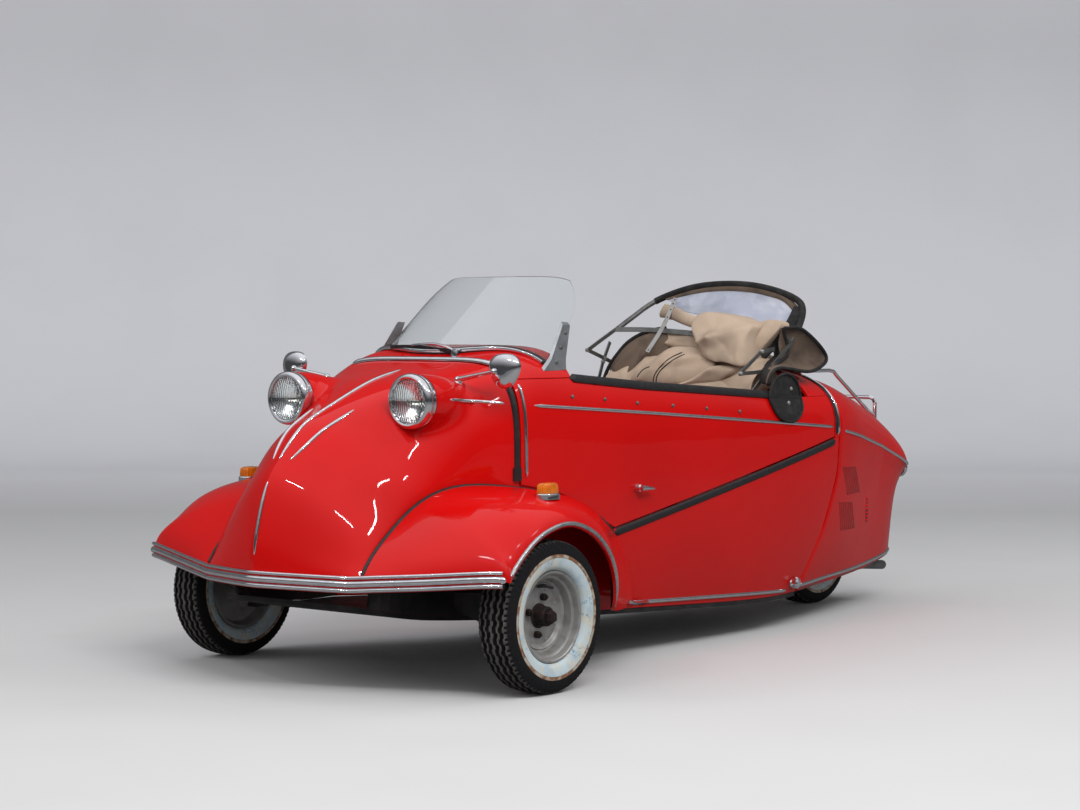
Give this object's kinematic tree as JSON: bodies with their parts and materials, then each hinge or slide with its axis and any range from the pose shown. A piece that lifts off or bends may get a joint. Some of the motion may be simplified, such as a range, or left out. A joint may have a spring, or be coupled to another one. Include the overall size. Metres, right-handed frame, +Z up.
{
  "type": "bubble car",
  "caption": "Open three-wheeled bubble car with two seats in tandem, a side-hinged lid, a folded hood, a lifting tail cover, and steered front wheels.",
  "frame": {"origin": "on the ground, under the middle of the overall length and width", "axes": "+X forward, towards the nose; +Y to the car's left; +Z up"},
  "size_m": [2.8222, 1.2406, 1.038],
  "materials": {
    "body_red": "gloss",
    "black_paint": "semi-gloss",
    "rubber": "matte",
    "chrome": "polished",
    "steel": "dull",
    "cast_alloy": "cast",
    "tyre_rubber": "matte",
    "clear_glass": "clear",
    "amber_lens": "moulded lens",
    "ruby_lens": "moulded lens",
    "canvas": "woven",
    "seat_vinyl": "grained"
  },
  "bodies": {
    "body": {"nose_shell": "body_red", "wheelhouse_left": "black_paint", "wheelhouse_right": "black_paint", "side_left": "body_red", "side_right": "body_red", "floor_pan": "black_paint", "wing_left": "body_red", "wing_right": "body_red", "arch_hoop": "body_red", "headlamp_left": "chrome", "headlamp_right": "chrome", "mirror_left": "chrome", "mirror_right": "chrome", "indicator_left": "amber_lens", "indicator_right": "amber_lens", "bumper_trim": "chrome", "rear_bulkhead": "black_paint", "dash_panel": "body_red", "steering_column": "black_paint", "seat_pad_front": "seat_vinyl", "seat_pad_rear": "seat_vinyl", "seat_back_front": "seat_vinyl", "seat_back_rear": "seat_vinyl", "seat_base_front": "black_paint", "seat_base_rear": "black_paint", "rear_frame_left": "black_paint", "rear_frame_right": "black_paint", "rear_fork": "black_paint", "engine": "cast_alloy", "exhaust": "steel", "front_arm_left": "black_paint", "front_arm_right": "black_paint", "door_seal": "rubber", "cover_catch_left": "chrome", "cover_catch_right": "chrome"},
    "lid": {"lid_door": "body_red", "lid_rail": "body_red", "lid_cowl": "body_red", "lid_rear_deck": "body_red", "windscreen": "clear_glass", "screen_bracket_left": "cast_alloy", "screen_bracket_right": "cast_alloy", "hood_frame": "steel", "hood_cloth": "canvas", "hood_flap": "canvas", "door_handle": "chrome"},
    "tail": {"tail_cover": "body_red", "tail_rack": "chrome", "tail_lamp_left": "ruby_lens", "tail_lamp_right": "ruby_lens"},
    "steering": {"steering_bar": "black_paint"},
    "steer_left": {"knuckle_left": "steel"},
    "steer_right": {"knuckle_right": "steel"},
    "wheel_front_left": {"tyre_front_left": "tyre_rubber", "rim_front_left": "steel"},
    "wheel_front_right": {"tyre_front_right": "tyre_rubber", "rim_front_right": "steel"},
    "wheel_rear": {"tyre_rear": "tyre_rubber", "rim_rear": "steel"}
  },
  "joints": [
    {"name": "lid_hinge", "type": "hinge", "parent": "body", "child": "lid", "pos_m": [0.42, -0.392, 0.67639], "axis": [0.9972, 0, 0.0751], "range_deg": [0, 80]},
    {"name": "tail_hinge", "type": "hinge", "parent": "body", "child": "tail", "pos_m": [-0.7, 0, 0.78], "axis": [0, 1, 0], "range_deg": [0, 60]},
    {"name": "steering_turn", "type": "hinge", "parent": "body", "child": "steering", "pos_m": [0.56, 0, 0.6], "axis": [-0.8638, 0, 0.5039], "range_deg": [-25, 25]},
    {"name": "steer_left_turn", "type": "hinge", "parent": "body", "child": "steer_left", "pos_m": [0.946, 0.452, 0.19], "axis": [0, 0, 1], "range_deg": [-25, 25]},
    {"name": "steer_right_turn", "type": "hinge", "parent": "body", "child": "steer_right", "pos_m": [0.946, -0.452, 0.19], "axis": [0, 0, 1], "range_deg": [-25, 25]},
    {"name": "wheel_front_left_spin", "type": "hinge", "parent": "steer_left", "child": "wheel_front_left", "pos_m": [0.946, 0.5418, 0.19], "axis": [0, 1, 0], "continuous": true},
    {"name": "wheel_front_right_spin", "type": "hinge", "parent": "steer_right", "child": "wheel_front_right", "pos_m": [0.946, -0.5418, 0.19], "axis": [0, 1, 0], "continuous": true},
    {"name": "wheel_rear_spin", "type": "hinge", "parent": "body", "child": "wheel_rear", "pos_m": [-1.084, 0, 0.19], "axis": [0, 1, 0], "continuous": true}
  ],
  "couplings": [
    {"joint": "steer_left_turn", "follows": "steering_turn", "ratio": 1},
    {"joint": "steer_right_turn", "follows": "steering_turn", "ratio": 1}
  ]
}
